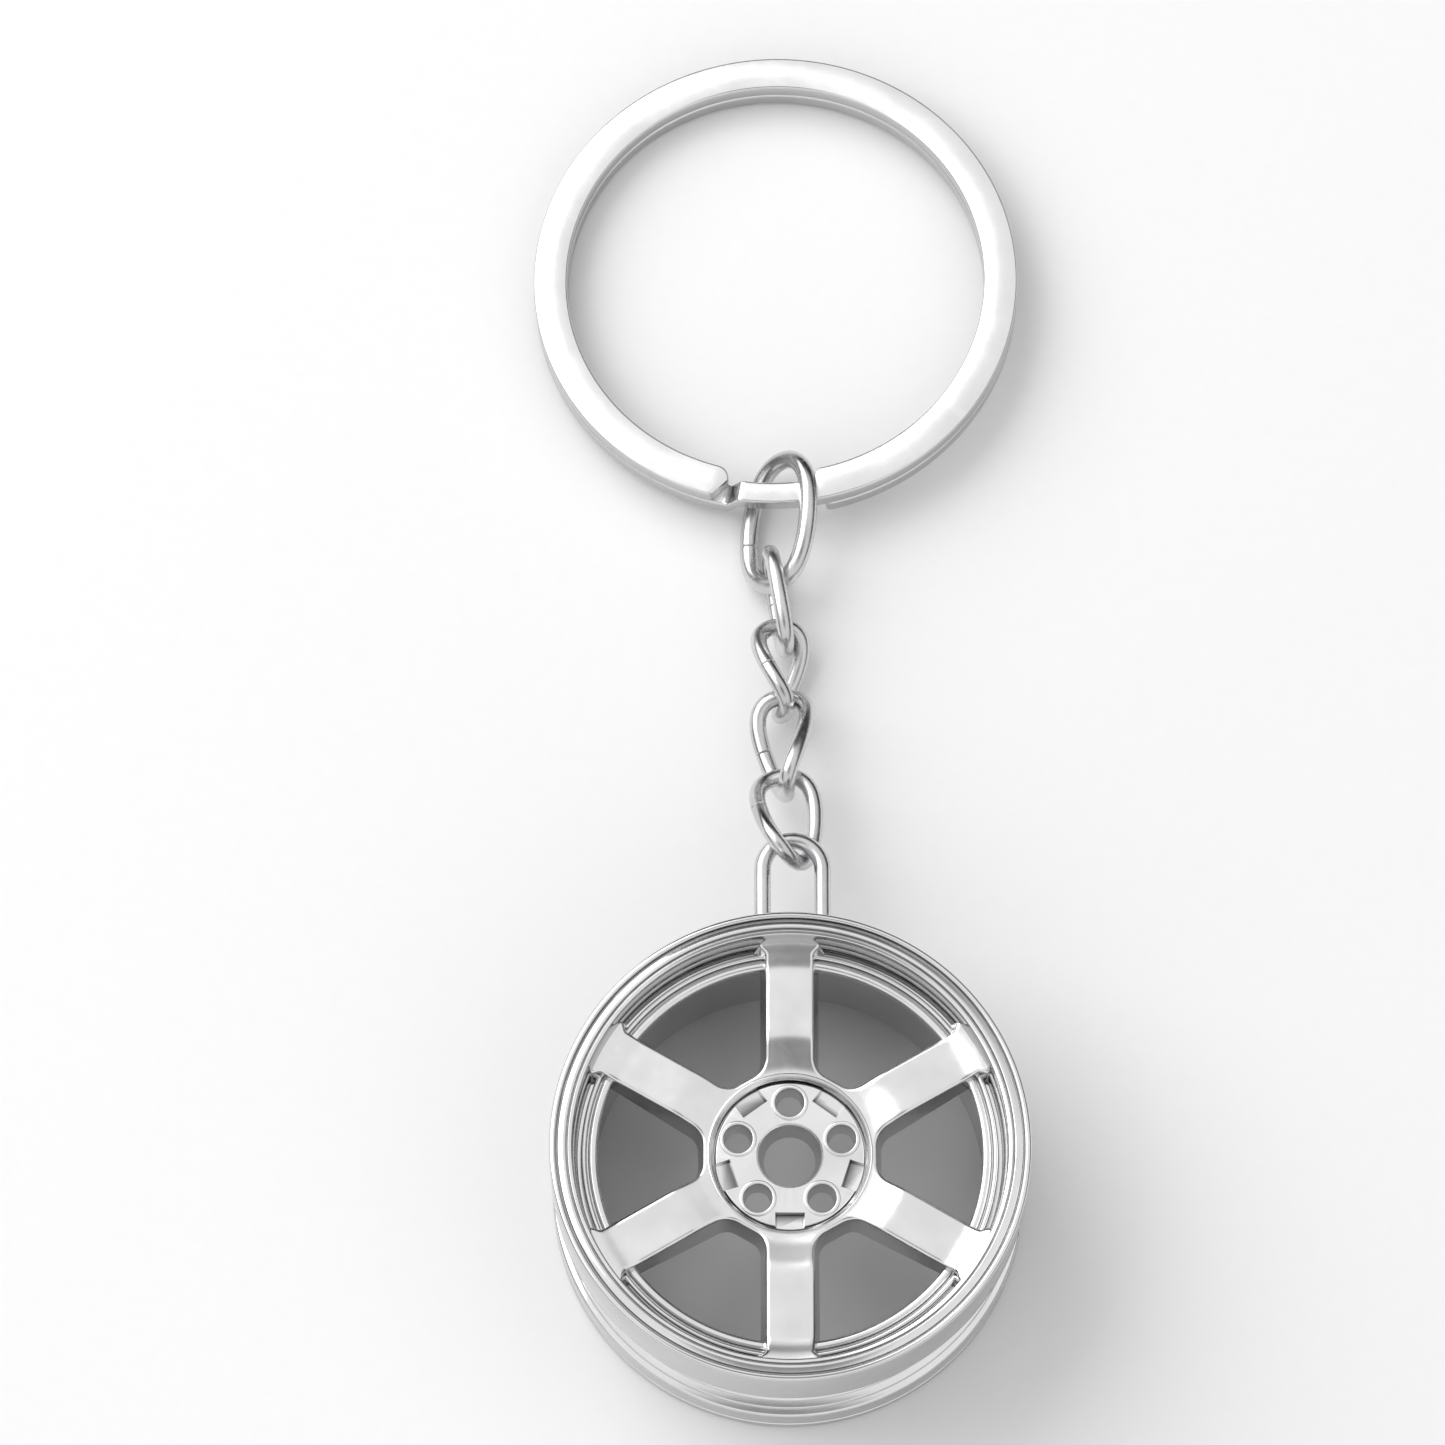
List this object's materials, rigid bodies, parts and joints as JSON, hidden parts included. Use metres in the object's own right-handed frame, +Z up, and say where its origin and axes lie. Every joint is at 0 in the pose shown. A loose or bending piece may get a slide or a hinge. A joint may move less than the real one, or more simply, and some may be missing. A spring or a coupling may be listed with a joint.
{
  "type": "split key ring with chain and wheel charm",
  "caption": "Flat-wire split key ring with a short chain of twisted links and a miniature spoked wheel charm hung by a wire bail.",
  "frame": {"origin": "middle of the footprint, on the surface that the key ring lies on", "axes": "+Y along the chain from the wheel towards the split ring, +Z up, out of the front face of the wheel"},
  "size_m": [0.0321, 0.0926, 0.014],
  "materials": {
    "ring_plating": "polished nickel plating, satin flat faces",
    "link_plating": "polished nickel plating",
    "rim_plating": "polished chrome plating",
    "spoke_plating": "satin chrome plating"
  },
  "bodies": {
    "ring": {"split_ring": "ring_plating"},
    "connector": {"connector_link": "link_plating"},
    "edge": {"edge_link": "link_plating"},
    "upper": {"upper_curb_link": "link_plating"},
    "middle": {"middle_curb_link": "link_plating"},
    "lower": {"lower_curb_link": "link_plating"},
    "wheel": {"wheel_bail": "link_plating", "rim_barrel": "rim_plating", "spoke_disc": "spoke_plating"}
  },
  "joints": [
    {"name": "connector_swing", "type": "hinge", "parent": "ring", "child": "connector", "pos_m": [0.00061, 0.01767, 0.00302], "axis": [-0.0262, 0.0392, 0.9989], "range_deg": [-45, 50]},
    {"name": "edge_link_fold", "type": "hinge", "parent": "connector", "child": "edge", "pos_m": [-0.00033, 0.00917, 0.00238], "axis": [-1, 0, 0], "range_deg": [-60, 60]},
    {"name": "upper_link_fold", "type": "hinge", "parent": "edge", "child": "upper", "pos_m": [0.00017, 0.00632, 0.00241], "axis": [0.9939, 0.0354, -0.1045], "range_deg": [-75, 75]},
    {"name": "middle_link_swing", "type": "hinge", "parent": "upper", "child": "middle", "pos_m": [0.00039, 0.0003, 0.00247], "axis": [-0.3084, -0.0213, -0.951], "range_deg": [-16, 55]},
    {"name": "lower_link_fold", "type": "hinge", "parent": "middle", "child": "lower", "pos_m": [0.00034, -0.00432, 0.00367], "axis": [-0.9951, -0.0971, -0.0162], "range_deg": [-75, 75]},
    {"name": "wheel_swing", "type": "hinge", "parent": "lower", "child": "wheel", "pos_m": [0.00092, -0.01059, 0.00619], "axis": [0.5706, -0.2608, -0.7787], "range_deg": [-8, 24]}
  ]
}
